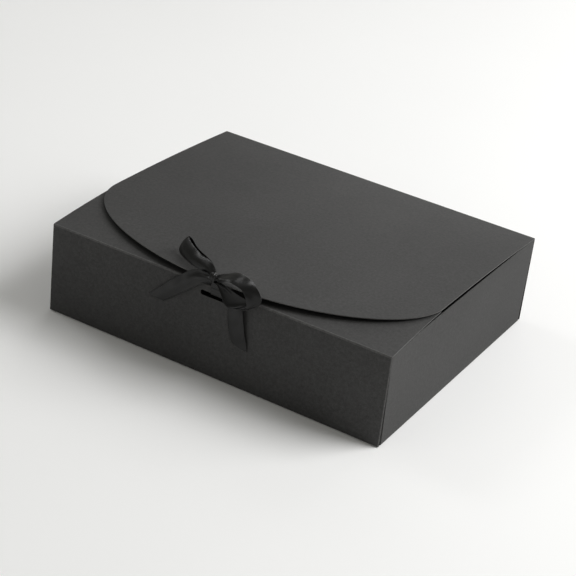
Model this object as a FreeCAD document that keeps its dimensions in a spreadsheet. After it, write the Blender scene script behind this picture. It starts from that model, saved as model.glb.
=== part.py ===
import FreeCAD, Part
import Sketcher
import math
import os

# Folding gift box of matt card: a tray of five panels, an inner front flap, a lid flap with a
# half-elliptical front edge, and a satin ribbon tied in a bow over the lid's tip.
# Frame: origin at the centre of the underside, +X along the length, -Y the front, +Z up. Millimetres.

SIZES = {
    # the card tray
    "box_length": 310.0,
    "box_depth": 255.0,
    "box_height": 79.0,
    "card": 0.7,              # thickness of the card
    "fold_gap": 0.3,          # free space left at each fold and cut edge
    "wall_relief": 3.0,       # how far a side wall's foot is cut back from the corner
    # glue tabs inside the side walls, and the tape that holds them
    "tab_width": 20.0,
    "tab_chamfer": 5.0,
    "tab_base": 1.0,          # height of a tab's lower edge
    "tab_drop": 4.0,          # how far a tab's upper edge lies under the rim
    "tape": 0.15,
    "tape_width": 12.0,
    "tape_inset": 4.0,
    # the lid flap
    "lid_rise": 5.0,          # height of the lid's tip over the rim
    "lid_crown": 4.3,         # sagitta of the lid's bow over its chord
    "lid_curve": 83.0,        # how far back the half-elliptical edge reaches
    "lid_slot_length": 22.0,
    "lid_slot_height": 3.0,
    # the inner front flap
    "flap_depth": 80.0,
    "flap_tilt": 3.8,         # degrees that the fold springs up
    "flap_corner": 2.0,
    "flap_slot_length": 24.0,
    "flap_slot_height": 4.0,
    "slot_inset": 9.0,        # lid and flap slots, back from the front edge
    # the slot in the front wall
    "front_slot_length": 24.0,
    "front_slot_height": 4.0,
    "front_slot_level": 71.0,
    # the ribbon
    "ribbon_width": 15.0,
    "ribbon": 0.5,            # thickness of the ribbon
    "ribbon_gap": 0.3,        # space between the ribbon and the card that it passes
    "knot_length": 11.0,
    "knot_depth": 9.0,
    "knot_height": 8.0,
    "knot_round": 2.5,
    "knot_level": 84.6,       # underside of the knot
    "knot_front": 5.0,        # how far the knot stands in front of the box
    "knot_offset": 1.0,       # the knot lies a little left of the middle
    "loop_width": 15.0,
    "loop_neck": 3.0,         # half the loop's width where the knot gathers it
    "loop_spread": 25.0,      # length over which the loop opens to its full width
    "loop_mouth": 1.0,        # half the distance of the loop's two legs at the knot
    "loop_radius": 4.0,
    "left_loop_length": 44.0,
    "right_loop_length": 40.0,
    "left_tail_length": 50.0,
    "right_tail_length": 42.0,
    "tail_gap": 1.3,          # space between the tails and the front wall
}

# Where each loop leaves the knot: x, distance in front of the box, z, then yaw, pitch and roll in degrees.
LOOPS = {
    "ribbon_left_loop": ("left_loop_length", (-8.2, -1.8, 90.8), (150.4, -4.6, 34.5)),
    "ribbon_right_loop": ("right_loop_length", (5.8, 2.2, 88.8), (-9.0, 13.1, 0.0)),
}

# Where the middle of each tail starts: x and z, and how far it leans from straight down, in degrees.
TAILS = {
    "ribbon_left_tail": ("left_tail_length", (-8.0, 82.0), -57.0),
    "ribbon_right_tail": ("right_tail_length", (10.0, 75.5), 23.6),
}

HALF_LENGTH = "Sizes.box_length / 2"
HALF_DEPTH = "Sizes.box_depth / 2"
FOLD_LEVEL = "Sizes.box_height - Sizes.card"
WALL_TOP = "Sizes.box_height - Sizes.card - Sizes.fold_gap"

doc = FreeCAD.newDocument("gift_box")


def make_sheet():
    sheet = doc.addObject("Spreadsheet::Sheet", "Sizes")
    for row, (name, size) in enumerate(SIZES.items(), start=1):
        sheet.set("A%d" % row, name)
        sheet.set("B%d" % row, str(size))
        sheet.setAlias("B%d" % row, name)
    doc.recompute()
    return sheet


sizes = make_sheet()


def number(text):
    return float(sizes.evalExpression(text))


# ---- sketch helpers: every corner is held by two distances bound to the sheet ----

def new_sketch(body, plane, name):
    sketch = body.newObject("Sketcher::SketchObject", name)
    support = [item for item in body.Origin.OriginFeatures if item.Role == plane][0]
    sketch.AttachmentSupport = (support, [""])
    sketch.MapMode = "FlatFace"
    return sketch


def bound(sketch, kind, *args, to):
    index = sketch.addConstraint(Sketcher.Constraint(kind, *args, number(to)))
    sketch.setExpression("Constraints[%d]" % index, to)


def pin(sketch, geometry, point, x, y):
    bound(sketch, "DistanceX", -1, 1, geometry, point, to=x)
    bound(sketch, "DistanceY", -1, 1, geometry, point, to=y)


def vector(x, y):
    return FreeCAD.Vector(number(x), number(y), 0)


def outline(sketch, corners):
    """A closed outline of straight edges through the corners, given as pairs of expressions."""
    first = sketch.GeometryCount
    count = len(corners)
    points = [vector(*corner) for corner in corners]
    for one, two in zip(points, points[1:] + points[:1]):
        sketch.addGeometry(Part.LineSegment(one, two), False)
    for step in range(count):
        following = first + (step + 1) % count
        sketch.addConstraint(Sketcher.Constraint("Coincident", first + step, 2, following, 1))
        pin(sketch, first + step, 1, *corners[step])


def slot(sketch, x, y, length, height):
    """A slot with round ends, its long way along the sketch's x."""
    radius = number("%s / 2" % height)
    reach = number("(%s - %s) / 2" % (length, height))
    centre = vector(x, y)
    right = Part.Circle(centre + FreeCAD.Vector(reach, 0, 0), FreeCAD.Vector(0, 0, 1), radius)
    left = Part.Circle(centre - FreeCAD.Vector(reach, 0, 0), FreeCAD.Vector(0, 0, 1), radius)
    quarter = math.pi / 2
    up = FreeCAD.Vector(0, radius, 0)
    first = sketch.GeometryCount
    sketch.addGeometry(Part.ArcOfCircle(right, -quarter, quarter), False)
    sketch.addGeometry(Part.LineSegment(right.Center + up, left.Center + up), False)
    sketch.addGeometry(Part.ArcOfCircle(left, quarter, 3 * quarter), False)
    sketch.addGeometry(Part.LineSegment(left.Center - up, right.Center - up), False)
    for step in range(4):
        following = first + (step + 1) % 4
        sketch.addConstraint(Sketcher.Constraint("Tangent", first + step, 2, following, 1))
    pin(sketch, first, 3, "%s + (%s - %s) / 2" % (x, length, height), y)
    pin(sketch, first + 2, 3, "%s - (%s - %s) / 2" % (x, length, height), y)
    bound(sketch, "Radius", first, to="%s / 2" % height)
    bound(sketch, "Radius", first + 2, to="%s / 2" % height)


def new_body(name):
    body = doc.addObject("PartDesign::Body", name)
    body.Label = name
    return body


def pad(body, sketch, length, both_ways=False):
    feature = body.newObject("PartDesign::Pad", sketch.Name + "_pad")
    feature.Profile = sketch
    feature.Length = number(length)
    feature.setExpression("Length", length)
    feature.SideType = "Symmetric" if both_ways else "One side"
    sketch.Visibility = False
    doc.recompute()
    return feature


def cut(body, sketch):
    """Cut the sketch through the whole body, and make sure that it did take material away."""
    before = body.Shape.Volume
    feature = body.newObject("PartDesign::Pocket", sketch.Name + "_cut")
    feature.Profile = sketch
    feature.Type = "ThroughAll"
    feature.SideType = "Symmetric"
    sketch.Visibility = False
    doc.recompute()
    if not body.Shape.Volume < before:
        raise RuntimeError(sketch.Name + " cuts nothing")
    return feature


def place(body, x="0", y="0", z="0", turn=None):
    if turn is not None:
        body.Placement.Rotation = turn
    for letter, text in zip("xyz", (x, y, z)):
        body.setExpression("Placement.Base." + letter, text)


# ---- the card ----

def bottom_panel():
    body = new_body("bottom_panel")
    sketch = new_sketch(body, "XY_Plane", "bottom_outline")
    right = HALF_LENGTH + " - Sizes.card"
    back = HALF_DEPTH + " - Sizes.card"
    outline(sketch, [("-(%s)" % right, "-(%s)" % back), (right, "-(%s)" % back),
                     (right, back), ("-(%s)" % right, back)])
    pad(body, sketch, "Sizes.card")


def long_wall(name, y, slotted):
    """The front or the back wall, over the whole length of the box."""
    body = new_body(name)
    sketch = new_sketch(body, "XZ_Plane", name + "_outline")
    outline(sketch, [("-" + HALF_LENGTH, "0"), (HALF_LENGTH, "0"),
                     (HALF_LENGTH, WALL_TOP), ("-" + HALF_LENGTH, WALL_TOP)])
    if slotted:
        slot(sketch, "0", "Sizes.front_slot_level", "Sizes.front_slot_length", "Sizes.front_slot_height")
    pad(body, sketch, "Sizes.card")
    place(body, y=y)


def side_wall(name, x):
    """A side wall stands on the bottom's edge, and its foot is cut back from both corners."""
    body = new_body(name)
    sketch = new_sketch(body, "YZ_Plane", name + "_outline")
    rim = HALF_DEPTH + " - Sizes.card - Sizes.fold_gap"
    foot = rim + " - Sizes.wall_relief"
    outline(sketch, [("-(%s)" % foot, "0"), (foot, "0"), (rim, WALL_TOP), ("-(%s)" % rim, WALL_TOP)])
    pad(body, sketch, "Sizes.card")
    place(body, x=x)


def corner_tab(name, side, end):
    """A glue tab, folded from the front or back wall and lying inside the side wall."""
    body = new_body(name)
    sketch = new_sketch(body, "YZ_Plane", name + "_outline")
    low = "Sizes.tab_base"
    high = WALL_TOP + " - Sizes.tab_drop"
    fold = "%d * (%s - Sizes.card)" % (end, HALF_DEPTH)
    tip = "%d * (%s - Sizes.card - Sizes.tab_width)" % (end, HALF_DEPTH)
    corners = [(fold, low), (tip, low + " + Sizes.tab_chamfer"),
               (tip, high + " - Sizes.tab_chamfer"), (fold, high)]
    outline(sketch, corners if end < 0 else corners[::-1])
    pad(body, sketch, "Sizes.card")
    left = "-" + HALF_LENGTH + " + Sizes.card + Sizes.tape"
    right = HALF_LENGTH + " - 2 * Sizes.card - Sizes.tape"
    place(body, x=left if side < 0 else right)


def tape_strip(name, side, end):
    """A strip of double-sided tape between a glue tab and the side wall."""
    body = new_body(name)
    sketch = new_sketch(body, "YZ_Plane", name + "_outline")
    low = "Sizes.tab_base + Sizes.tab_chamfer"
    high = WALL_TOP + " - Sizes.tab_drop - Sizes.tab_chamfer"
    outer = "%d * (%s - Sizes.card - Sizes.tape_inset)" % (end, HALF_DEPTH)
    inner = "%d * (%s - Sizes.card - Sizes.tape_inset - Sizes.tape_width)" % (end, HALF_DEPTH)
    corners = [(outer, low), (inner, low), (inner, high), (outer, high)]
    outline(sketch, corners if end < 0 else corners[::-1])
    pad(body, sketch, "Sizes.tape")
    left = "-" + HALF_LENGTH + " + Sizes.card"
    right = HALF_LENGTH + " - Sizes.card - Sizes.tape"
    place(body, x=left if side < 0 else right)


def lid_flap():
    """The lid: card bowed to an arc between the back fold and its tip, with a half-elliptical front."""
    body = new_body("lid_flap")
    bow = new_sketch(body, "YZ_Plane", "lid_bow")
    hinge, tip = HALF_DEPTH, "-" + HALF_DEPTH
    levels = [FOLD_LEVEL, "Sizes.box_height"]
    chord = "(Sizes.box_depth ^ 2 + Sizes.lid_rise ^ 2)"
    radius = "%s / 8 / Sizes.lid_crown + Sizes.lid_crown / 2" % chord
    for level in levels:
        ends = vector(tip, level + " + Sizes.lid_rise"), vector(hinge, level)
        middle = (ends[0] + ends[1]) / 2 + FreeCAD.Vector(0, number("Sizes.lid_crown"), 0)
        bow.addGeometry(Part.Arc(ends[0], middle, ends[1]), False)
    bow.addGeometry(Part.LineSegment(vector(hinge, levels[0]), vector(hinge, levels[1])), False)
    bow.addGeometry(Part.LineSegment(vector(tip, levels[0] + " + Sizes.lid_rise"),
                                     vector(tip, levels[1] + " + Sizes.lid_rise")), False)
    for arc, level in enumerate(levels):
        # an arc is kept counter-clockwise, so its first end is the one at the hinge
        bow.addConstraint(Sketcher.Constraint("Coincident", arc, 1, 2, arc + 1))
        bow.addConstraint(Sketcher.Constraint("Coincident", arc, 2, 3, arc + 1))
        pin(bow, 2, arc + 1, hinge, level)
        pin(bow, 3, arc + 1, tip, level + " + Sizes.lid_rise")
        bound(bow, "Radius", arc, to=radius)
    pad(body, bow, "Sizes.box_length", both_ways=True)
    front = new_sketch(body, "XY_Plane", "lid_front")
    lid_front_edge(front)
    slot(front, "0", tip + " + Sizes.slot_inset", "Sizes.lid_slot_length", "Sizes.lid_slot_height")
    cut(body, front)


def lid_front_edge(sketch):
    """What is cut away in front of the half ellipse whose tip touches the front edge."""
    level = "-%s + Sizes.lid_curve" % HALF_DEPTH
    centre = vector("0", level)
    ellipse = Part.Ellipse(centre, number(HALF_LENGTH), number("Sizes.lid_curve"))
    sketch.addGeometry(Part.ArcOfEllipse(ellipse, math.pi, 2 * math.pi), False)
    sketch.exposeInternalGeometry(0)
    major, minor = 1, 2
    pin(sketch, 0, 3, "0", level)
    bound(sketch, "Distance", major, to="Sizes.box_length")
    bound(sketch, "Distance", minor, to="2 * Sizes.lid_curve")
    sketch.addConstraint(Sketcher.Constraint("Horizontal", major))
    margin = 10.0
    left, right = "-" + HALF_LENGTH, HALF_LENGTH
    corners = [(left, level), ("%s - %g" % (left, margin), level),
               ("%s - %g" % (left, margin), "-%s - %g" % (HALF_DEPTH, margin)),
               ("%s + %g" % (right, margin), "-%s - %g" % (HALF_DEPTH, margin)),
               ("%s + %g" % (right, margin), level), (right, level)]
    first = sketch.GeometryCount
    for one, two in zip(corners, corners[1:]):
        sketch.addGeometry(Part.LineSegment(vector(*one), vector(*two)), False)
    for step in range(len(corners) - 2):
        sketch.addConstraint(Sketcher.Constraint("Coincident", first + step, 2, first + step + 1, 1))
        pin(sketch, first + step, 2, *corners[step + 1])
    last = first + len(corners) - 2
    sketch.addConstraint(Sketcher.Constraint("Coincident", first, 1, 0, 1))
    sketch.addConstraint(Sketcher.Constraint("Coincident", last, 2, 0, 2))
    bound(sketch, "DistanceY", -1, 1, first, 1, to=level)
    bound(sketch, "DistanceY", -1, 1, last, 2, to=level)


def inner_flap():
    """The short front flap that lies under the lid and springs up a little at its fold."""
    body = new_body("inner_flap")
    sketch = new_sketch(body, "XY_Plane", "flap_outline")
    side = HALF_LENGTH + " - Sizes.fold_gap"
    shoulder = "Sizes.flap_depth - Sizes.flap_corner"
    inset = side + " - Sizes.flap_corner"
    outline(sketch, [("-(%s)" % side, "0"), (side, "0"), (side, shoulder), (inset, "Sizes.flap_depth"),
                     ("-(%s)" % inset, "Sizes.flap_depth"), ("-(%s)" % side, shoulder)])
    slot(sketch, "0", "Sizes.slot_inset", "Sizes.flap_slot_length", "Sizes.flap_slot_height")
    pad(body, sketch, "Sizes.card")
    tilt = FreeCAD.Rotation(FreeCAD.Vector(1, 0, 0), number("Sizes.flap_tilt"))
    place(body, y="-" + HALF_DEPTH, z=FOLD_LEVEL, turn=tilt)


# ---- the ribbon ----

def ribbon_band(name, corners):
    """A flat ribbon seen from its edge: an outline of (distance behind the front face, z) pairs."""
    body = new_body(name)
    sketch = new_sketch(body, "YZ_Plane", name + "_edge")
    outline(sketch, [("-%s + %s" % (HALF_DEPTH, behind), level) for behind, level in corners])
    pad(body, sketch, "Sizes.ribbon_width", both_ways=True)


def slot_run():
    """The ribbon where it passes through the front wall: up outside, and up inside to the flap."""
    outside = "-(Sizes.ribbon_gap)"
    outside_far = "-(Sizes.ribbon_gap + Sizes.ribbon)"
    inside = "Sizes.card + Sizes.ribbon_gap"
    inside_far = inside + " + Sizes.ribbon"
    floor = "Sizes.front_slot_level - Sizes.ribbon / 2"
    ceiling = "Sizes.front_slot_level + Sizes.ribbon / 2"
    ribbon_band("ribbon_slot_run", [
        (outside_far, WALL_TOP), (outside_far, floor), (inside_far, floor), (inside_far, WALL_TOP),
        (inside, WALL_TOP), (inside, ceiling), (outside, ceiling), (outside, WALL_TOP)])


def front_end():
    """The ribbon's front end, from the rim up to the knot. It leaves with the lid."""
    near = "-(Sizes.ribbon_gap)"
    far = "-(Sizes.ribbon_gap + Sizes.ribbon)"
    low = WALL_TOP + " + 2 * Sizes.fold_gap"
    ribbon_band("ribbon_front_end", [(far, low), (near, low), (near, "Sizes.knot_level"),
                                     (far, "Sizes.knot_level")])


def lid_run():
    """The ribbon's other end, up through the lid's slot and forward along the lid to the knot."""
    near = "Sizes.slot_inset - Sizes.ribbon / 2"
    far = "Sizes.slot_inset + Sizes.ribbon / 2"
    low = "Sizes.box_height + 4 * Sizes.fold_gap"
    shelf = "Sizes.knot_level + Sizes.ribbon_gap"
    knot_back = "Sizes.knot_depth - Sizes.knot_front"
    ribbon_band("ribbon_lid_run", [
        (near, low), (far, low), (far, shelf + " + Sizes.ribbon"), (knot_back, shelf + " + Sizes.ribbon"),
        (knot_back, shelf), (near, shelf)])


def knot():
    body = new_body("ribbon_knot")
    sketch = new_sketch(body, "XY_Plane", "knot_outline")
    left = "-Sizes.knot_offset - Sizes.knot_length / 2"
    right = "-Sizes.knot_offset + Sizes.knot_length / 2"
    front = "-%s - Sizes.knot_front" % HALF_DEPTH
    back = front + " + Sizes.knot_depth"
    outline(sketch, [(left, front), (right, front), (right, back), (left, back)])
    block = pad(body, sketch, "Sizes.knot_height")
    rounding = body.newObject("PartDesign::Fillet", "knot_round")
    upright = [index for index, edge in enumerate(block.Shape.Edges, start=1)
               if abs(edge.BoundBox.ZLength - number("Sizes.knot_height")) < 0.001]
    rounding.Base = (block, ["Edge%d" % index for index in upright])
    rounding.setExpression("Radius", "Sizes.knot_round")
    body.Tip = rounding
    place(body, z="Sizes.knot_level")


def ribbon_loop(name, length_name, start, turn):
    """A loop as a hollow band with a round far end, narrowed where the knot gathers it."""
    body = new_body(name)
    length = "Sizes." + length_name
    band = new_sketch(body, "XY_Plane", name + "_legs")
    loop_outline(band, length, "0", "Sizes.loop_mouth", "Sizes.loop_radius")
    loop_outline(band, length, "2 * Sizes.loop_mouth", "Sizes.loop_mouth - Sizes.ribbon",
                 "Sizes.loop_radius - Sizes.ribbon")
    pad(body, band, "Sizes.loop_width", both_ways=True)
    gather = new_sketch(body, "XZ_Plane", name + "_gather")
    for side in ("", "-"):
        outline(gather, [("-1", side + "Sizes.loop_neck"), ("0", side + "Sizes.loop_neck"),
                         ("Sizes.loop_spread", side + "Sizes.loop_width / 2"),
                         ("Sizes.loop_spread", side + "Sizes.loop_width"), ("-1", side + "Sizes.loop_width")])
    cut(body, gather)
    x, front, z = start
    place(body, x="%g" % x, y="-%s - (%g)" % (HALF_DEPTH, front), z="%g" % z, turn=FreeCAD.Rotation(*turn))


def loop_outline(sketch, length, near, mouth, radius):
    """Two straight legs that spread from the mouth to a half circle at the far end."""
    far = "%s - Sizes.loop_radius" % length
    quarter = math.pi / 2
    first = sketch.GeometryCount
    circle = Part.Circle(vector(far, "0"), FreeCAD.Vector(0, 0, 1), number(radius))
    sketch.addGeometry(Part.ArcOfCircle(circle, -quarter, quarter), False)
    points = [(far, radius), (near, mouth), (near, "-(%s)" % mouth), (far, "-(%s)" % radius)]
    for one, two in zip(points, points[1:]):
        sketch.addGeometry(Part.LineSegment(vector(*one), vector(*two)), False)
    for step in range(4):
        following = first + (step + 1) % 4
        sketch.addConstraint(Sketcher.Constraint("Coincident", first + step, 2, following, 1))
    pin(sketch, first, 3, far, "0")
    bound(sketch, "Radius", first, to=radius)
    bound(sketch, "DistanceX", -1, 1, first, 1, to=far)
    bound(sketch, "DistanceX", -1, 1, first, 2, to=far)
    pin(sketch, first + 1, 2, near, mouth)
    pin(sketch, first + 2, 2, near, "-(%s)" % mouth)


def ribbon_tail(name, length_name, start, lean):
    """A flat tail hanging in front of the wall, leaning from straight down by an angle."""
    body = new_body(name)
    sketch = new_sketch(body, "XZ_Plane", name + "_outline")
    half, drop = "Sizes.ribbon_width / 2", "-Sizes." + length_name
    outline(sketch, [("-" + half, drop), (half, drop), (half, "0"), ("-" + half, "0")])
    pad(body, sketch, "Sizes.ribbon")
    x, z = start
    turn = FreeCAD.Rotation(FreeCAD.Vector(0, -1, 0), lean)
    place(body, x="%g" % x, y="-%s - Sizes.tail_gap" % HALF_DEPTH, z="%g" % z, turn=turn)


def build():
    bottom_panel()
    long_wall("front_wall", "-%s + Sizes.card" % HALF_DEPTH, slotted=True)
    long_wall("back_wall", HALF_DEPTH, slotted=False)
    side_wall("left_wall", "-" + HALF_LENGTH)
    side_wall("right_wall", HALF_LENGTH + " - Sizes.card")
    for end_name, end in (("front", -1), ("back", 1)):
        for side_name, side in (("left", -1), ("right", 1)):
            corner_tab("%s_%s_tab" % (end_name, side_name), side, end)
            tape_strip("%s_%s_tape" % (end_name, side_name), side, end)
    lid_flap()
    inner_flap()
    slot_run()
    front_end()
    lid_run()
    knot()
    for name, (length_name, start, turn) in LOOPS.items():
        ribbon_loop(name, length_name, start, turn)
    for name, (length_name, start, lean) in TAILS.items():
        ribbon_tail(name, length_name, start, lean)


def export():
    doc.recompute()
    for item in doc.Objects:
        if "Invalid" in item.State or "Error" in item.State:
            raise RuntimeError("%s is %s" % (item.Name, item.State))
    bodies = [item for item in doc.Objects if item.TypeId == "PartDesign::Body"]
    for body in bodies:
        if body.Shape.isNull() or not body.Shape.isValid() or len(body.Shape.Solids) != 1:
            raise RuntimeError(body.Label + " isn't one valid solid")
    os.makedirs("parts", exist_ok=True)
    for body in bodies:
        body.Shape.exportStep("parts/%s.step" % body.Label)
        box = body.Shape.BoundBox
        print("%-18s x %7.1f %7.1f  y %7.1f %7.1f  z %6.1f %6.1f" % (
            body.Label, box.XMin, box.XMax, box.YMin, box.YMax, box.ZMin, box.ZMax))
    print(len(bodies), "sub-parts")


build()
export()
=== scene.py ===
import math
import bpy
from mathutils import Matrix, Vector
from mathutils.geometry import interpolate_bezier


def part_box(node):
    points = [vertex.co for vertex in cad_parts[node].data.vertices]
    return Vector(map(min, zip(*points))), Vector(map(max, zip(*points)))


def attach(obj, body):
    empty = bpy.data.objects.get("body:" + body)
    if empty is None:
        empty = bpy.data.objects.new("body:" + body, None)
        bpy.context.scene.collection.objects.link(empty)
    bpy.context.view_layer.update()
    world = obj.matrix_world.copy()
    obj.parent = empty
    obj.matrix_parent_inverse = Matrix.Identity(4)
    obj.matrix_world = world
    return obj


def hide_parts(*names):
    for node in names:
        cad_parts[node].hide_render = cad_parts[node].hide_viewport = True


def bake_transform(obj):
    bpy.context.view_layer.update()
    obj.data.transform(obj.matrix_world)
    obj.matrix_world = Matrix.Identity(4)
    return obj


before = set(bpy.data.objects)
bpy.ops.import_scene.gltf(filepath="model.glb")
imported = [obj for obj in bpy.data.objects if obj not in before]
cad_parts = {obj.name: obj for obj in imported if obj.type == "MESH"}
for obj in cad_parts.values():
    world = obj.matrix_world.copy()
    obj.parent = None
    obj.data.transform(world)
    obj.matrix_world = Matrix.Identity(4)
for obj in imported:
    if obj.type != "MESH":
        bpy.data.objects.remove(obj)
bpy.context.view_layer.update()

mm = 0.001
scene = bpy.context.scene

# The box's own planes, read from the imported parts
wallLow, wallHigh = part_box("front_wall")
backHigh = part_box("back_wall")[1]
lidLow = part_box("lid_flap")[0]
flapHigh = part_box("inner_flap")[1]
cardThickness = wallHigh.y - wallLow.y
foldLevel = lidLow.z                        # underside of the lid at its fold
rimLevel = foldLevel + cardThickness        # the box's full height
frontFace, backFace = wallLow.y, backHigh.y
rightFace = wallHigh.x
boxDepth = backFace - frontFace


shot = {
    "azimuth": 28.2,        # degrees round from straight in front
    "elevation": 28.55,
    "roll": 6.8,
    "distance": 1.394,
    "target": (0.0089, -0.0260, 0.0395),
    "lens": 106.7,
}


def placeCamera():
    turn, lift = math.radians(shot["azimuth"]), math.radians(shot["elevation"])
    target = Vector(shot["target"])
    away = Vector((math.sin(turn) * math.cos(lift), -math.cos(turn) * math.cos(lift), math.sin(lift)))
    bpy.ops.object.camera_add(location=target + away * shot["distance"])
    camera = bpy.context.object
    camera.name = "camera"
    facing = (-away).to_track_quat("-Z", "Y").to_matrix().to_4x4()
    camera.matrix_world = (Matrix.Translation(target + away * shot["distance"]) @ facing
                           @ Matrix.Rotation(math.radians(shot["roll"]), 4, "Z"))
    camera.data.lens = shot["lens"]
    camera.data.sensor_width = 36
    camera.data.clip_end = 50
    scene.camera = camera


placeCamera()
print("camera placed")


def newMaterial(name):
    material = bpy.data.materials.new(name)
    material.use_nodes = True
    nodes, links = material.node_tree.nodes, material.node_tree.links
    shader = nodes["Principled BSDF"]
    coords = nodes.new("ShaderNodeTexCoord")
    return material, nodes, links, shader, coords


def noise(nodes, links, coords, scale, detail=2.0, roughness=0.5, socket="Object", stretch=None):
    texture = nodes.new("ShaderNodeTexNoise")
    texture.inputs["Scale"].default_value = scale
    texture.inputs["Detail"].default_value = detail
    texture.inputs["Roughness"].default_value = roughness
    source = coords.outputs[socket]
    if stretch:
        mapping = nodes.new("ShaderNodeMapping")
        mapping.inputs["Scale"].default_value = stretch
        links.new(source, mapping.inputs["Vector"])
        source = mapping.outputs["Vector"]
    links.new(source, texture.inputs["Vector"])
    return texture.outputs["Fac"]


def ramp(nodes, links, fac, stops):
    node = nodes.new("ShaderNodeValToRGB")
    node.color_ramp.elements[0].position, node.color_ramp.elements[0].color = stops[0]
    node.color_ramp.elements[1].position, node.color_ramp.elements[1].color = stops[-1]
    for position, color in stops[1:-1]:
        node.color_ramp.elements.new(position).color = color
    links.new(fac, node.inputs["Fac"])
    return node.outputs["Color"]


def blendColors(nodes, links, kind, amount, one, two):
    node = nodes.new("ShaderNodeMix")
    node.data_type = "RGBA"
    node.blend_type = kind
    node.inputs["Factor"].default_value = amount
    links.new(one, node.inputs["A"])
    links.new(two, node.inputs["B"])
    return node.outputs["Result"]


def grey(value, warmth=0.0):
    return (value * (1 + warmth), value, value * (1 - warmth), 1)


blackCard = {
    "tone": 0.037,
    "foldScuffAndHighlightTone": 2.0,        # how much lighter a fold is: real scuffing plus a painted highlight
    "edgeHighlightTone": 2.6,        # how much lighter a cut edge is: a painted highlight
    "mottle": 0.15,         # share by which the tone drifts over the sheet
    "mottleScale": 9,
    "grain": 0.19,          # share by which single fibres differ
    "fibreScale": 900,
    "strandScale": 420,
    "warmth": 0.012,
    "roughness": 0.62,
    "specular": 0.25,
    "fibre": 0.00006,       # bump height in metres
    "bumpStrength": 0.5,
}


def cardMaterial(name, tone, grain=None):
    material, nodes, links, shader, coords = newMaterial(name)
    drift = noise(nodes, links, coords, blackCard["mottleScale"], detail=4)
    fibres = noise(nodes, links, coords, blackCard["fibreScale"], detail=3, roughness=0.7)
    strands = noise(nodes, links, coords, blackCard["strandScale"], detail=3, roughness=0.6)
    dark = grey(tone * (1 - blackCard["mottle"]), blackCard["warmth"])
    pale = grey(tone * (1 + blackCard["mottle"]), blackCard["warmth"])
    base = ramp(nodes, links, drift, [(0.3, dark), (0.7, pale)])
    speck = blackCard["grain"] if grain is None else grain
    fleck = ramp(nodes, links, fibres, [(0.3, grey(1 - speck)), (0.72, grey(1 + speck))])
    streak = ramp(nodes, links, strands, [(0.3, grey(1 - speck)), (0.7, grey(1 + speck))])
    color = blendColors(nodes, links, "MULTIPLY", 1, base, fleck)
    color = blendColors(nodes, links, "MULTIPLY", 1, color, streak)
    links.new(color, shader.inputs["Base Color"])
    shader.inputs["Roughness"].default_value = blackCard["roughness"]
    shader.inputs["Specular IOR Level"].default_value = blackCard["specular"]
    bump = nodes.new("ShaderNodeBump")
    bump.inputs["Strength"].default_value = blackCard["bumpStrength"]
    bump.inputs["Distance"].default_value = blackCard["fibre"]
    links.new(fibres, bump.inputs["Height"])
    links.new(bump.outputs["Normal"], shader.inputs["Normal"])
    return material


satin = {
    "tone": 0.006,
    "roughness": 0.28,
    "specular": 0.3,
    "anisotropy": 0.6,
    "thread": 0.00035,      # width of one thread in metres
    "unevenness": 0.6,      # how far the threads wander
    "slubs": (2600, 90, 1), # thick places: close across the ribbon, long along it
    "bump": 0.00002,
    "bumpStrength": 0.35,
}


# Satin reads the ribbon's own UV map: u across the ribbon and v along it, both in metres.
def satinMaterial(name):
    material, nodes, links, shader, coords = newMaterial(name)
    wave = nodes.new("ShaderNodeTexWave")
    wave.wave_type = "BANDS"
    wave.bands_direction = "X"
    wave.inputs["Scale"].default_value = 0.31 / satin["thread"]
    wave.inputs["Distortion"].default_value = satin["unevenness"]
    links.new(coords.outputs["UV"], wave.inputs["Vector"])
    slubs = noise(nodes, links, coords, 1.0, detail=3, socket="UV", stretch=satin["slubs"])
    base = ramp(nodes, links, slubs, [(0.3, grey(satin["tone"] * 0.8)), (0.7, grey(satin["tone"] * 1.25))])
    links.new(base, shader.inputs["Base Color"])
    shader.inputs["Roughness"].default_value = satin["roughness"]
    shader.inputs["Specular IOR Level"].default_value = satin["specular"]
    shader.inputs["Anisotropic"].default_value = satin["anisotropy"]
    tangent = nodes.new("ShaderNodeTangent")
    tangent.direction_type = "UV_MAP"
    links.new(tangent.outputs["Tangent"], shader.inputs["Tangent"])
    bump = nodes.new("ShaderNodeBump")
    bump.inputs["Strength"].default_value = satin["bumpStrength"]
    bump.inputs["Distance"].default_value = satin["bump"]
    links.new(wave.outputs["Fac"], bump.inputs["Height"])
    links.new(bump.outputs["Normal"], shader.inputs["Normal"])
    return material


tape = {"dark": 0.26, "pale": 0.33, "warmth": 0.04, "patchScale": 120, "roughness": 0.45}


def tapeMaterial(name):
    material, nodes, links, shader, coords = newMaterial(name)
    patches = noise(nodes, links, coords, tape["patchScale"], detail=3)
    dark, pale = grey(tape["dark"], tape["warmth"]), grey(tape["pale"], tape["warmth"])
    base = ramp(nodes, links, patches, [(0.3, dark), (0.7, pale)])
    links.new(base, shader.inputs["Base Color"])
    shader.inputs["Roughness"].default_value = tape["roughness"]
    return material


cardFace = cardMaterial("blackCard", blackCard["tone"])
# folds: partly real scuffing, partly a painted highlight along the creases
cardFoldScuffAndHighlight = cardMaterial("scuffAndHighlightFold", blackCard["tone"] * blackCard["foldScuffAndHighlightTone"], grain=0.2)
# cut edges: a painted highlight, as the card is the same black right through
cardEdgeHighlight = cardMaterial("cutEdgeHighlight", blackCard["tone"] * blackCard["edgeHighlightTone"], grain=0.15)
ribbonSatin = satinMaterial("blackSatin")
tapeFilm = tapeMaterial("tapeFilm")
print("materials made")


def deselectAll():
    if bpy.context.mode != "OBJECT":
        bpy.ops.object.mode_set(mode="OBJECT")
    bpy.ops.object.select_all(action="DESELECT")


def pick(piece):
    deselectAll()
    piece.select_set(True)
    bpy.context.view_layer.objects.active = piece


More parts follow.
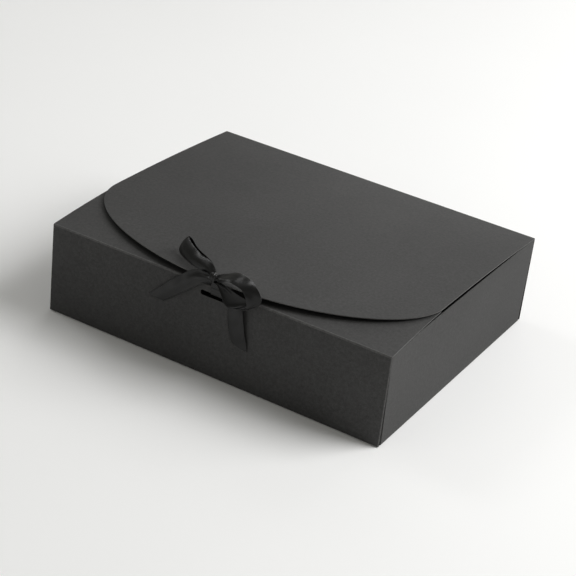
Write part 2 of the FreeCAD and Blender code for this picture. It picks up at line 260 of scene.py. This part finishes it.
def startBox(name, low, high):
    deselectAll()
    low, high = Vector(low), Vector(high)
    bpy.ops.mesh.primitive_cube_add(size=1, location=(low + high) / 2)
    piece = bpy.context.object
    piece.name = name
    piece.scale = high - low
    bpy.ops.object.transform_apply(location=True, rotation=True, scale=True)
    return piece


# Edit mode, with the edges whose two ends pass the test selected
def selectEdges(piece, test):
    pick(piece)
    bpy.ops.object.mode_set(mode="EDIT")
    bpy.ops.mesh.select_mode(type="EDGE")
    bpy.ops.mesh.select_all(action="DESELECT")
    bpy.ops.object.mode_set(mode="OBJECT")
    points = piece.data.vertices
    for edge in piece.data.edges:
        edge.select = test(points[edge.vertices[0]].co, points[edge.vertices[1]].co)
    bpy.ops.object.mode_set(mode="EDIT")


# Divides every edge that runs along the axis, so the panel can bend
def divide(piece, axis, cuts):
    def runsAlong(one, two):
        span = two - one
        return abs(span[axis]) > 0.8 * span.length

    selectEdges(piece, runsAlong)
    bpy.ops.mesh.subdivide(number_cuts=cuts)
    bpy.ops.object.mode_set(mode="OBJECT")


def roundEdges(piece, test, radius, segments=3):
    selectEdges(piece, test)
    bpy.ops.mesh.bevel(offset=radius, segments=segments, profile=0.5, affect="EDGES")
    bpy.ops.object.mode_set(mode="OBJECT")


def applyModifier(piece, kind, **settings):
    pick(piece)
    modifier = piece.modifiers.new(kind.lower(), kind)
    for name, value in settings.items():
        setattr(modifier, name, value)
    bpy.ops.object.modifier_apply(modifier=modifier.name)


def boolean(piece, cutter, operation="DIFFERENCE"):
    applyModifier(piece, "BOOLEAN", operation=operation, object=cutter, solver="EXACT")
    bpy.data.objects.remove(cutter)


cutDepth = 10 * mm         # how long the cutters are


# A round-ended cutter: a cylinder whose two halves are pulled apart along X
def slotCutter(centre, axis, length, height):
    deselectAll()
    turn = (math.pi / 2, 0, 0) if axis == "Y" else (0, 0, 0)
    bpy.ops.mesh.primitive_cylinder_add(vertices=48, radius=height / 2, depth=cutDepth,
                                        location=centre, rotation=turn)
    cutter = bpy.context.object
    bpy.ops.object.transform_apply(location=True, rotation=True, scale=True)
    pull = (length - height) / 2
    for point in cutter.data.vertices:
        point.co.x += pull if point.co.x > centre[0] else -pull
    return cutter


# Moves every vertex by what shift(place) says
def move(piece, shift):
    for point in piece.data.vertices:
        point.co += shift(point.co)
    piece.data.update()


def clean(piece):
    pick(piece)
    bpy.ops.object.mode_set(mode="EDIT")
    bpy.ops.mesh.select_all(action="SELECT")
    bpy.ops.mesh.remove_doubles(threshold=0.00001)
    bpy.ops.mesh.normals_make_consistent(inside=False)
    bpy.ops.object.mode_set(mode="OBJECT")


# Gives a card piece its face material, its fold material (scuffing with a painted highlight) and its
# cut-edge material (a painted highlight), and smooth shading between sharp edges
def finishCard(piece, isFold=None, isEdge=None):
    for material in (cardFace, cardFoldScuffAndHighlight, cardEdgeHighlight):
        piece.data.materials.append(material)
    for face in piece.data.polygons:
        if isFold and isFold(face.center, face.normal):
            face.material_index = 1
        elif isEdge and isEdge(face.center, face.normal):
            face.material_index = 2
    pick(piece)
    bpy.ops.object.shade_smooth_by_angle(angle=math.radians(35))


tray = {
    "foldRadius": 0.65 * mm,
    "frontBulge": 0.5 * mm,
    "backBulge": 0.6 * mm,
    "sideLean": 1.3 * mm,       # the side walls' rims bow inward between the corners
    "sideSkew": 0.7,            # how much more they do so towards the front
    "sideDrop": 0.6 * mm,       # how far their rims stay under the box's height
    "sideRelief": 3 * mm,       # how far a side wall's foot is cut back from the corner
    "creaseReach": 1.4 * mm,    # outer radius of the folds that move
    "creaseSteps": 8,
    "creaseGap": 0.3 * mm,      # how far a moving fold stops short of the corner
}
creaseStart = rimLevel - tray["creaseReach"]
frontSlot = {"level": 71 * mm, "length": 24 * mm, "height": 4.2 * mm}


# A long wall with rounded folds at both ends and along its foot, bulging a little
def longWall(name, node, faceY, outward, bulge, slotted=False):
    inner = faceY - outward * cardThickness
    low = (-rightFace, min(faceY, inner), 0)
    high = (rightFace, max(faceY, inner), creaseStart)
    piece = startBox(name, low, high)

    def isOuterFold(one, two):
        onFace = abs(one.y - faceY) < 1e-6 and abs(two.y - faceY) < 1e-6
        foot = one.z < 1e-6 and two.z < 1e-6
        upright = abs(one.x - two.x) < 1e-6
        return onFace and (foot or upright)

    roundEdges(piece, isOuterFold, tray["foldRadius"])
    divide(piece, 0, 30)
    divide(piece, 2, 8)
    if slotted:
        centre = (0, faceY, frontSlot["level"])
        boolean(piece, slotCutter(centre, "Y", frontSlot["length"], frontSlot["height"]))

    def shift(place):
        along = math.cos(math.pi / 2 * place.x / rightFace)
        up = math.sin(math.pi * min(1, place.z / creaseStart))
        return Vector((0, outward * bulge * along * up, 0))

    move(piece, shift)
    finishCard(piece,
               isFold=lambda place, normal: abs(normal.x) > 0.2 and abs(normal.y) > 0.2 or
               abs(normal.z) > 0.2 and abs(normal.y) > 0.2,
               isEdge=lambda place, normal: abs(normal.x) > 0.9)
    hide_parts(node)
    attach(piece, "root")


longWall("frontWall", "front_wall", frontFace, -1, tray["frontBulge"], slotted=True)
longWall("backWall", "back_wall", backFace, 1, tray["backBulge"])


# A side wall with cut upright edges, a rounded foot fold and a rim that bows inward
def sideWall(name, node, outward):
    low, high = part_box(node)
    piece = startBox(name, low, (high.x, high.y, rimLevel - tray["sideDrop"]))
    face = high.x if outward > 0 else low.x

    def isFoot(one, two):
        return max(one.z, two.z) < 1e-6 and abs(one.x - face) < 1e-6 and abs(two.x - face) < 1e-6

    roundEdges(piece, isFoot, tray["foldRadius"])
    divide(piece, 1, 30)
    divide(piece, 2, 10)
    middle = (low.y + high.y) / 2
    reach = (high.y - low.y) / 2

    def shift(place):
        upward = place.z / high.z
        share = (place.y - middle) / reach
        narrow = -share * tray["sideRelief"] * (1 - upward)
        lean = (1 - abs(share) ** 3) * (1 - tray["sideSkew"] * share) * upward ** 1.5 * tray["sideLean"]
        return Vector((-outward * lean, narrow, 0))

    move(piece, shift)
    finishCard(piece,
               isFold=lambda place, normal: abs(normal.x) > 0.2 and normal.z < -0.2,
               isEdge=lambda place, normal: abs(normal.y) > 0.8 or normal.z > 0.8)
    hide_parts(node)
    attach(piece, "root")


sideWall("leftWall", "left_wall", -1)
sideWall("rightWall", "right_wall", 1)


# The crease between a wall and a flap: a strip of card spun a quarter turn over the wall's top
def fold(name, faceY, inward):
    deselectAll()
    radius = tray["creaseReach"]
    bpy.ops.mesh.primitive_plane_add(size=1, location=(0, faceY + inward * cardThickness / 2, creaseStart))
    piece = bpy.context.object
    piece.name = name
    piece.scale = (2 * rightFace - 2 * tray["creaseGap"], cardThickness, 1)
    bpy.ops.object.transform_apply(location=True, rotation=True, scale=True)
    pick(piece)
    bpy.ops.object.mode_set(mode="EDIT")
    bpy.ops.mesh.select_all(action="SELECT")
    bpy.ops.mesh.spin(steps=tray["creaseSteps"], angle=inward * math.pi / 2,
                      center=(0, faceY + inward * radius, creaseStart), axis=(1, 0, 0))
    bpy.ops.object.mode_set(mode="OBJECT")
    clean(piece)
    divide(piece, 0, 40)
    # the whole crease strip takes the fold tone: scuffing plus a painted highlight
    finishCard(piece, isFold=lambda place, normal: True)
    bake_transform(piece)


fold("lidFold", backFace, -1)
fold("flapFold", frontFace, 1)
print("tray done")


lid = {
    "curve": 83 * mm,           # how far back the half ellipse reaches
    "tipRise": 5.0 * mm,
    "sideRise": 0.2 * mm,       # how much higher the corners spring than the tied tip
    "crown": 4.3 * mm,
    "sideCrown": -1.4 * mm,     # how much less the sides bow than the middle
    "columns": 77,
    "rows": 63,
}
lidSlot = {"inset": 9 * mm, "length": 22 * mm, "height": 3 * mm}


# Height of the lid over the rim: a bow from the back fold to the tied tip
def lidRise(x, y):
    forward = (backFace - y) / boxDepth
    side = (x / rightFace) ** 2
    chord = (lid["tipRise"] + lid["sideRise"] * side) * forward
    bow = (lid["crown"] + lid["sideCrown"] * side) * (1 - (2 * forward - 1) ** 2)
    return chord + bow


# A flat sheet of card: a grid with the card's thickness
def startSheet(name, low, high, columns, rows):
    deselectAll()
    centre = ((low[0] + high[0]) / 2, (low[1] + high[1]) / 2, low[2])
    bpy.ops.mesh.primitive_grid_add(x_subdivisions=columns, y_subdivisions=rows, size=1, location=centre)
    piece = bpy.context.object
    piece.name = name
    piece.scale = (high[0] - low[0], high[1] - low[1], 1)
    bpy.ops.object.transform_apply(location=True, rotation=True, scale=True)
    pick(piece)
    bpy.ops.object.mode_set(mode="EDIT")
    bpy.ops.mesh.select_all(action="SELECT")
    bpy.ops.mesh.extrude_region_move(TRANSFORM_OT_translate={"value": (0, 0, high[2] - low[2])})
    bpy.ops.object.mode_set(mode="OBJECT")
    clean(piece)
    return piece


def lidFlap():
    start = backFace - tray["creaseReach"]
    piece = startSheet("lidFlap", (-rightFace, frontFace, foldLevel), (rightFace, start, rimLevel),
                       lid["columns"], lid["rows"])
    deselectAll()
    centreY = frontFace + lid["curve"]
    bpy.ops.mesh.primitive_cylinder_add(vertices=360, radius=1, depth=2 * cutDepth,
                                        location=(0, centreY, foldLevel))
    outline = bpy.context.object
    outline.scale = (rightFace, lid["curve"], 1)
    bpy.ops.object.transform_apply(location=True, rotation=True, scale=True)
    rear = startBox("rear", (-rightFace, centreY, foldLevel - cutDepth),
                    (rightFace, backFace, foldLevel + cutDepth))
    boolean(outline, rear, "UNION")
    boolean(piece, outline, "INTERSECT")
    tip = (0, frontFace + lidSlot["inset"], foldLevel)
    boolean(piece, slotCutter(tip, "Z", lidSlot["length"], lidSlot["height"]))
    move(piece, lambda place: Vector((0, 0, lidRise(place.x, place.y))))
    finishCard(piece, isEdge=lambda place, normal: abs(normal.z) < 0.5)
    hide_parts("lid_flap")
    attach(piece, "lid")


lidFlap()
print("lid done")


flap = {
    "spring": 0.0915,           # slope at the fold
    "settle": 0.400,            # how fast the slope eases, per metre
    "corner": 1.5 * mm,
    "sideGap": 0.3 * mm,
    "columns": 60,
    "rows": 14,
}
flapSlot = {"length": 24 * mm, "height": 4 * mm}


def flapRise(y):
    back = y - frontFace
    return flap["spring"] * back - flap["settle"] * back * back


def innerFlap():
    start = frontFace + tray["creaseReach"]
    side = rightFace - flap["sideGap"]
    piece = startSheet("innerFlap", (-side, start, foldLevel), (side, flapHigh.y, rimLevel),
                       flap["columns"], flap["rows"])

    def isCorner(one, two):
        upright = abs(one.x - two.x) < 1e-6 and abs(one.y - two.y) < 1e-6
        return upright and one.y > flapHigh.y - 1e-5 and abs(one.x) > side - 1e-5

    roundEdges(piece, isCorner, flap["corner"], segments=6)
    tip = (0, frontFace + lidSlot["inset"], foldLevel)
    boolean(piece, slotCutter(tip, "Z", flapSlot["length"], flapSlot["height"]))
    move(piece, lambda place: Vector((0, 0, flapRise(place.y) - flapRise(start))))
    finishCard(piece, isEdge=lambda place, normal: abs(normal.z) < 0.5)
    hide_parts("inner_flap")
    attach(piece, "flap")


innerFlap()
print("inner flap done")


# The tabs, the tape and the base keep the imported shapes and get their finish
def keepNode(node, material):
    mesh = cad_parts[node].data
    mesh.materials.clear()
    mesh.materials.append(material)


for end in ("front", "back"):
    for side in ("left", "right"):
        keepNode(f"{end}_{side}_tab", cardFace)
        keepNode(f"{end}_{side}_tape", tapeFilm)
keepNode("bottom_panel", cardFace)


ribbon = {
    "width": 15 * mm,
    "thickness": 0.3 * mm,
    "ripple": 2.4 * mm,
    "pleatReach": 7,        # millimetres over which the pleats fade, where a strip gives none
    "steps": 8,             # rows of faces from one pair of edge points to the next
    "across": 16,           # faces across the ribbon
}


# A place given in millimetres from the middle of the front rim: right, back, up
def fromRim(point):
    right, back, up = point
    return Vector((right * mm, frontFace + back * mm, rimLevel + up * mm))


# An even, smooth line through given points
def smoothLine(points, steps):
    line = []
    last = len(points) - 1
    for index in range(last):
        before = points[max(index - 1, 0)]
        after = points[min(index + 2, last)]
        one, two = points[index], points[index + 1]
        handleOne = one + (two - before) / 6
        handleTwo = two - (after - one) / 6
        part = interpolate_bezier(one, handleOne, handleTwo, two, steps + 1)
        line += part if index == 0 else part[1:]
    return line


# A strip of ribbon through pairs of edge points, cupped across and pleated where it is gathered
def ribbonStrip(name, strip):
    across = ribbon["across"]
    cup, wave = strip.get("cup", 0), strip.get("wave", 0)
    startPleat, endPleat = strip.get("pleats", (0, 0))
    fade = strip.get("pleatReach", ribbon["pleatReach"]) * mm
    near = smoothLine([fromRim(pair[0]) for pair in strip["edges"]], ribbon["steps"])
    far = smoothLine([fromRim(pair[1]) for pair in strip["edges"]], ribbon["steps"])
    deselectAll()
    bpy.ops.mesh.primitive_grid_add(x_subdivisions=across, y_subdivisions=len(near) - 1, size=1)
    piece = bpy.context.object
    piece.name = name
    columns = across + 1
    run = [0.0]
    for index in range(1, len(near)):
        middle = (near[index] + far[index]) / 2 - (near[index - 1] + far[index - 1]) / 2
        run.append(run[-1] + middle.length)
    for row in range(len(near)):
        after, before = min(row + 1, len(near) - 1), max(row - 1, 0)
        along = (near[after] + far[after]) - (near[before] + far[before])
        normal = along.cross(far[row] - near[row]).normalized()
        gather = startPleat * math.exp(-run[row] / fade) + endPleat * math.exp((run[row] - run[-1]) / fade)
        for column in range(columns):
            share = column / across
            hump = 4 * share * (1 - share) * cup + gather * math.sin(3 * math.pi * share)
            hump += wave * math.sin(run[row] / ribbon["ripple"] + 1.5 * share) * (0.4 + share)
            place = near[row].lerp(far[row], share) + normal * hump * mm
            piece.data.vertices[row * columns + column].co = place
    uv = piece.data.uv_layers.active.data
    for loop in piece.data.loops:
        row, column = divmod(loop.vertex_index, columns)
        uv[loop.index].uv = (column / across * ribbon["width"], run[row])
    applyModifier(piece, "SOLIDIFY", thickness=ribbon["thickness"], offset=0)
    applyModifier(piece, "SUBSURF", levels=1, render_levels=1)
    piece.data.materials.append(ribbonSatin)
    pick(piece)
    bpy.ops.object.shade_smooth()
    print(name, "length", round(run[-1], 4))
    return piece


# Each strip: the places of its two edges, how it cups, pleats and ripples in millimetres, and how it lies
strips = {
    "bowLoopLeft": {
        "edges": [
            ((-1, -3, 5.8), (0, 0, 12.9)), ((-6.4, -1, 6.2), (-3.8, 3, 16)),
            ((-16.8, 3, 7.4), (-11, 7, 17)), ((-28.8, 8, 7.1), (-21.5, 11.5, 16.2)),
            ((-40, 14, 7), (-33.2, 17.8, 17.6)), ((-44.5, 17, 7.4), (-39, 21.5, 18.8)),
            ((-47.2, 20, 8.2), (-42.4, 25, 19.4)), ((-45, 21, 8.6), (-41, 26.5, 18)),
            ((-39, 18, 8.3), (-37.2, 25.5, 16)), ((-32, 13.8, 8), (-32, 22, 14.8)),
            ((-25, 10.5, 7.8), (-25.2, 18, 14.6)), ((-16, 6.5, 7.6), (-17.3, 13.5, 15)),
            ((-7, 3, 7.3), (-8.5, 8.5, 14.8)), ((-1, 0, 7), (-1.5, 3, 12.5)),
        ],
        "cup": -1.3, "pleats": (0.9, 0.6), "wave": 0.05,
        "node": "ribbon_left_loop", "body": "lid", "held": "folded", "restsOn": "lidFlap",
    },
    "bowLoopRight": {
        "edges": [
            ((1, -4, 8), (1, 1.5, 9.5)), ((5.5, -3.8, 9), (4.5, 5.5, 11)),
            ((13.2, -5, 12), (12.3, 8.5, 13.6)), ((20.5, -6, 12.2), (21.7, 7, 15.8)),
            ((28, -7.2, 10.8), (31, 3, 15.4)), ((32.7, -8.2, 6.2), (39.3, -2, 13.4)),
            ((34.5, -8, -1.5), (45.5, -5.5, 8.5)), ((33.5, -8.5, -4.2), (45, -8, 4)),
            ((28.5, -10, -4.8), (38, -4, 2)), ((22, -10, -6.1), (29.5, -2.2, 1.5)),
            ((15.5, -8.5, -5.8), (22, -2, 3)), ((10, -6, -0.8), (14.5, -2, 5)),
            ((5, -4, 4.5), (8, -2, 7)), ((1, -3.5, 6), (1, -1.5, 6.5)),
        ],
        "cup": 0.9, "pleats": (0.8, 0.5), "wave": 0.22,
        "node": "ribbon_right_loop", "body": "lid", "held": "folded", "restsOn": "bowKnot",
    },
    "bowTailLeft": {
        "edges": [
            ((0, -5, 5), (0, -2, 9)), ((-6.7, -5, 2.8), (-8, -1.8, 11)),
            ((-13.5, -4, -2.2), (-19, -1.4, 9.3)), ((-21, -3.2, -9), (-29, -1.6, 1.5)),
            ((-31, -2.2, -17.3), (-40, -2, -8.6)), ((-43.4, -1.6, -28), (-58.4, -1.6, -27.5)),
        ],
        "cup": -0.7, "pleats": (0.9, 0), "pleatReach": 20, "wave": 0.15,
        "node": "ribbon_left_tail", "body": "lid", "held": "hung", "restsOn": "bowKnot",
    },
    "bowTailRight": {
        "edges": [
            ((2, -2.8, 6), (5, -2.8, 7)), ((8, -1.9, 0), (15, -1.9, 4)),
            ((12.5, -1.7, -8), (25, -1.9, -2.5)), ((14.6, -1.7, -14.5), (29.5, -3.6, -9.5)),
            ((15.4, -1.8, -22), (30.6, -3.8, -17)), ((17, -1.7, -29.6), (32, -3, -26)),
            ((18.8, -1.7, -35.5), (33.8, -2.2, -34.5)), ((20.8, -1.8, -40), (35.2, -1.8, -43)),
        ],
        "cup": 1.1, "pleats": (0.6, 0), "pleatReach": 14, "wave": 0.2,
        "node": "ribbon_right_tail", "body": "lid", "held": "hung", "restsOn": "bowKnot",
    },
    "knotRibbon": {
        "edges": [
            ((-2.3, -1.1, -0.3), (5.4, -1.1, -0.3)), ((-2.3, -1.1, 2.2), (4.6, -1.1, 2.2)),
            ((-2, -1.3, 5), (4, -1.3, 5)), ((-1.5, -1.8, 7), (3, -1.8, 7)),
        ],
        "node": "ribbon_front_end", "body": "lid",
    },
    "slotRibbon": {
        "edges": [
            ((-3.2, -1.0, -0.6), (7.6, -1.0, -0.6)), ((-2.9, -0.9, -2.6), (8, -0.9, -2.6)),
            ((-2.4, -0.7, -5.8), (8.6, -0.7, -5.8)), ((-2.2, 0.3, -7.4), (8.8, 0.3, -7.4)),
            ((-2.2, 1.4, -6.5), (8.8, 1.4, -6.5)), ((-2.2, 1.6, -4), (8.8, 1.6, -4)),
            ((-2.2, 1.6, -1.8), (8.8, 1.6, -1.8)),
        ],
        "node": "ribbon_slot_run", "body": "root", "held": "stretched", "restsOn": "frontWall",
    },
    "lidRibbon": {
        "edges": [
            ((-6, 9, 1.3), (6, 9, 1.3)), ((-6, 9, 5.8), (6, 9, 5.8)),
            ((-5.5, 7.5, 6.6), (5.5, 7.5, 6.6)), ((-4.5, 3, 7.5), (4.5, 3, 7.5)),
        ],
        "node": "ribbon_lid_run", "body": "lid", "held": "stretched", "restsOn": "lidFlap",
    },
}
ribbonPieces = {name: ribbonStrip(name, strip) for name, strip in strips.items()}

knot = {
    "middle": (-0.4, -1.5, 9.0),    # millimetres from the rim
    "tilt": -12,                    # degrees
    "across": 6.6 * mm,
    "depth": 3.7 * mm,
    "height": 4.4 * mm,
    "crimps": 3,
    "crimpDepth": 0.16,
}


# A short band of crumpled ribbon wrapped round the gathered middle
def knotPiece():
    deselectAll()
    centre = fromRim(knot["middle"])
    bpy.ops.mesh.primitive_uv_sphere_add(segments=48, ring_count=32, radius=1, rotation=(0, math.pi / 2, 0))
    piece = bpy.context.object
    piece.name = "bowKnot"
    bpy.ops.object.transform_apply(location=True, rotation=True, scale=True)
    for point in piece.data.vertices:
        side, turn = point.co.x, math.atan2(point.co.z, point.co.y)
        flat = math.sqrt(max(0, 1 - abs(side) ** 4))
        drift = 0.5 * math.sin(turn + 1)
        crimp = 1 - knot["crimpDepth"] * abs(math.sin(knot["crimps"] * math.pi / 2 * side + drift))
        point.co = centre + Vector((side * knot["across"] / 2,
                                    flat * crimp * math.cos(turn) * knot["depth"],
                                    flat * crimp * math.sin(turn) * knot["height"]))
    piece.data.materials.append(ribbonSatin)
    pick(piece)
    bpy.ops.transform.rotate(value=math.radians(knot["tilt"]), orient_axis="Y", center_override=centre)
    bpy.ops.object.transform_apply(location=True, rotation=True, scale=True)
    bpy.ops.object.shade_smooth()
    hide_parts("ribbon_knot")
    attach(piece, "lid")
    return piece


knotBand = knotPiece()

for name, strip in strips.items():
    piece = ribbonPieces[name]
    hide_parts(strip["node"])
    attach(piece, strip["body"])
print("ribbon done")


floorFinish = {
    "side": 12,
    "level": -0.5 * mm,
    "dark": 0.93,
    "pale": 0.95,
    "roughness": 0.9,
    "specular": 0.1,
}


def layFloor():
    deselectAll()
    bpy.ops.mesh.primitive_plane_add(size=floorFinish["side"], location=(0, 0, floorFinish["level"]))
    floor = bpy.context.object
    floor.name = "studioFloor"
    material, nodes, links, shader, coords = newMaterial("paleFloor")
    stops = [(0.3, grey(floorFinish["dark"])), (0.7, grey(floorFinish["pale"]))]
    tone = ramp(nodes, links, noise(nodes, links, coords, 2), stops)
    links.new(tone, shader.inputs["Base Color"])
    shader.inputs["Roughness"].default_value = floorFinish["roughness"]
    shader.inputs["Specular IOR Level"].default_value = floorFinish["specular"]
    floor.data.materials.append(material)


# Square lamps aimed at the box: place in metres, side in metres, power in watts
lamps = {
    "key": ((1.6, 0.85, 1.6), 1.6, 61),
    "back": ((-0.3, 2.4, 0.9), 2.0, 15),
    "left": ((-1.6, 0.1, 1.5), 0.5, 4),
    "glossTop": ((-0.5, 0.9, 1.9), 0.8, 11),        # the two gloss lamps only light the sheen
    "glossRight": ((1.8, -0.3, 1.2), 0.5, 3),
    "fill": ((-1.0, -1.9, 0.7), 1.6, 4.5),
}
surround = {"color": (1, 0.99, 0.91, 1), "strength": 0.21}


def lightStudio():
    for name, (place, size, power) in lamps.items():
        bpy.ops.object.light_add(type="AREA", location=place)
        lamp = bpy.context.object
        lamp.name = name
        lamp.data.size = size
        lamp.data.energy = power
        lamp.rotation_euler = (-Vector(place)).to_track_quat("-Z", "Y").to_euler()
        lamp.visible_diffuse = not name.startswith("gloss")
    world = bpy.data.worlds.new("studioWorld")
    scene.world = world
    world.use_nodes = True
    background = world.node_tree.nodes["Background"]
    background.inputs["Color"].default_value = surround["color"]
    background.inputs["Strength"].default_value = surround["strength"]
    scene.view_settings.view_transform = "Standard"


layFloor()
lightStudio()
print("studio lit")
